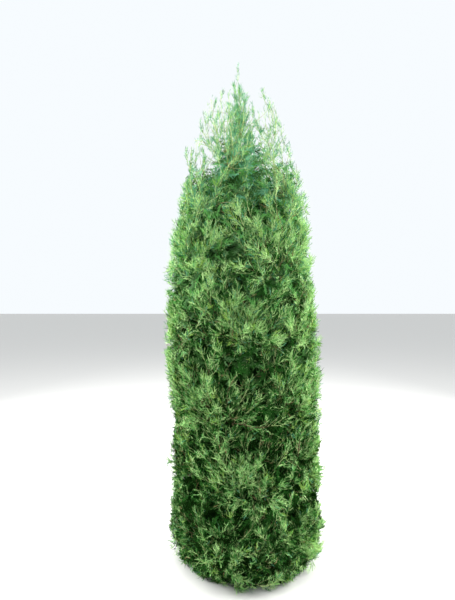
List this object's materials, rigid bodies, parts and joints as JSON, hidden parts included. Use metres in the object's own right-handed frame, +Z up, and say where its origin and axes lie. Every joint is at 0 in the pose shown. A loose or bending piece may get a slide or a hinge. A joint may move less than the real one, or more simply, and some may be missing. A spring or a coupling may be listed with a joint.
{
  "type": "cypress tree",
  "caption": "Young columnar cypress tree with one straight trunk, slender rising boughs and dense feathery foliage down to the ground.",
  "frame": {"origin": "centre of the flat cut under the trunk, at ground level", "axes": "+Z up the tree, -Y towards the viewer of the picture, +X to that viewer's right"},
  "size_m": [0.9225, 0.9056, 2.8999],
  "materials": {
    "bark": "rough stringy red-brown bark",
    "foliage": "matt scale-leaved sprays, mid to dark green",
    "young_foliage": "matt scale-leaved sprays, fresh light green"
  },
  "bodies": {
    "root": {"trunk": "bark", "skirt_bough_1": "bark", "skirt_foliage_1": "foliage", "skirt_bough_2": "bark", "skirt_foliage_2": "foliage", "skirt_bough_3": "bark", "skirt_foliage_3": "foliage", "skirt_bough_4": "bark", "skirt_foliage_4": "foliage", "lower_bough_1": "bark", "lower_foliage_1": "foliage", "lower_bough_2": "bark", "lower_foliage_2": "foliage", "lower_bough_3": "bark", "lower_foliage_3": "foliage", "lower_bough_4": "bark", "lower_foliage_4": "foliage", "waist_bough_1": "bark", "waist_foliage_1": "foliage", "waist_bough_2": "bark", "waist_foliage_2": "foliage", "waist_bough_3": "bark", "waist_foliage_3": "foliage", "waist_bough_4": "bark", "waist_foliage_4": "foliage", "middle_bough_1": "bark", "middle_foliage_1": "foliage", "middle_bough_2": "bark", "middle_foliage_2": "foliage", "middle_bough_3": "bark", "middle_foliage_3": "foliage", "middle_bough_4": "bark", "middle_foliage_4": "foliage", "upper_bough_1": "bark", "upper_foliage_1": "foliage", "upper_bough_2": "bark", "upper_foliage_2": "foliage", "upper_bough_3": "bark", "upper_foliage_3": "foliage", "upper_bough_4": "bark", "upper_foliage_4": "foliage", "shoulder_bough_1": "bark", "shoulder_foliage_1": "foliage", "shoulder_bough_2": "bark", "shoulder_foliage_2": "foliage", "shoulder_bough_3": "bark", "shoulder_foliage_3": "foliage", "crest_foliage_1": "foliage", "crest_foliage_2": "foliage", "crest_foliage_3": "foliage", "leader_foliage": "young_foliage"}
  },
  "joints": []
}
